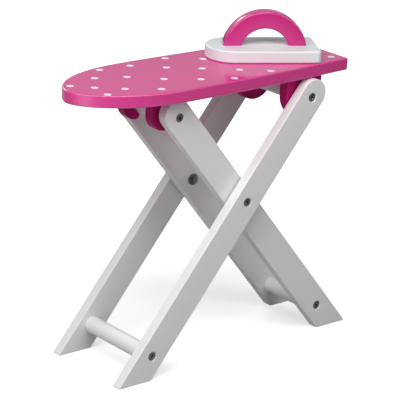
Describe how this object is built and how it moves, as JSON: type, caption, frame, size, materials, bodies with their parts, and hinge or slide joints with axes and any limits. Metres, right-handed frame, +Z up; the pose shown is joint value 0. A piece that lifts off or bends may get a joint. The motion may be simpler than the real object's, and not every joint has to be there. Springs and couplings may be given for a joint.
{
  "type": "doll ironing board",
  "caption": "Child's toy ironing board: rounded-nose board on hinged crossed legs that hook under it, with a loose toy iron resting on top.",
  "frame": {"origin": "middle of the footprint of the whole object's box, on the floor", "axes": "+Z up, -X towards the board's rounded nose, +Y to the right of someone who looks from the tail to the nose; left pieces are on the -Y side"},
  "size_m": [0.4827, 0.1626, 0.4883],
  "materials": {
    "board_gloss_pink": "high gloss pink lacquer with white dots",
    "bracket_pink": "satin pink lacquer",
    "leg_white": "satin white paint",
    "screw_steel": "dark plated",
    "nut_steel": "plated",
    "spacer_plastic": "matte",
    "bare_beech": "bare",
    "iron_white": "satin white paint",
    "handle_pink": "gloss pink lacquer"
  },
  "bodies": {
    "board": {"board": "board_gloss_pink", "front_bracket_left": "bracket_pink", "front_bracket_right": "bracket_pink", "rear_bracket_left": "bracket_pink", "rear_bracket_right": "bracket_pink", "front_bracket_left_front_pin": "bare_beech", "front_bracket_left_rear_pin": "bare_beech", "front_bracket_right_front_pin": "bare_beech", "front_bracket_right_rear_pin": "bare_beech", "rear_bracket_left_front_pin": "bare_beech", "rear_bracket_left_rear_pin": "bare_beech", "rear_bracket_right_front_pin": "bare_beech", "rear_bracket_right_rear_pin": "bare_beech"},
    "outer_frame": {"outer_leg_left": "leg_white", "outer_leg_right": "leg_white", "outer_top_dowel": "leg_white", "outer_bottom_dowel": "leg_white", "outer_top_screw_left": "screw_steel", "outer_top_screw_right": "screw_steel", "outer_bottom_screw_left": "screw_steel", "outer_bottom_screw_right": "screw_steel", "crossing_bolt_left": "screw_steel", "crossing_bolt_right": "screw_steel", "crossing_spacer_left": "spacer_plastic", "crossing_spacer_right": "spacer_plastic"},
    "inner_frame": {"inner_leg_left": "leg_white", "inner_leg_right": "leg_white", "inner_top_dowel": "leg_white", "inner_bottom_dowel": "leg_white", "inner_top_screw_left": "screw_steel", "inner_top_screw_right": "screw_steel", "inner_bottom_screw_left": "screw_steel", "inner_bottom_screw_right": "screw_steel", "crossing_nut_left": "nut_steel", "crossing_nut_right": "nut_steel"},
    "iron": {"iron_base": "iron_white", "iron_handle": "handle_pink", "iron_screw_front": "screw_steel", "iron_screw_rear": "screw_steel"}
  },
  "joints": [
    {"name": "outer_frame_hinge", "type": "hinge", "parent": "board", "child": "outer_frame", "pos_m": [0.13425, 0, 0.374], "axis": [0, -1, 0], "range_deg": [0, 29.5]},
    {"name": "crossing_hinge", "type": "hinge", "parent": "outer_frame", "child": "inner_frame", "pos_m": [0.02094, 0, 0.23594], "axis": [0, 1, 0], "range_deg": [0, 59]},
    {"name": "iron_lift", "type": "slide", "parent": "board", "child": "iron", "axis": [0, 0, 1], "range_m": [0, 0.12]}
  ],
  "couplings": [
    {"joint": "crossing_hinge", "follows": "outer_frame_hinge", "ratio": 2}
  ]
}
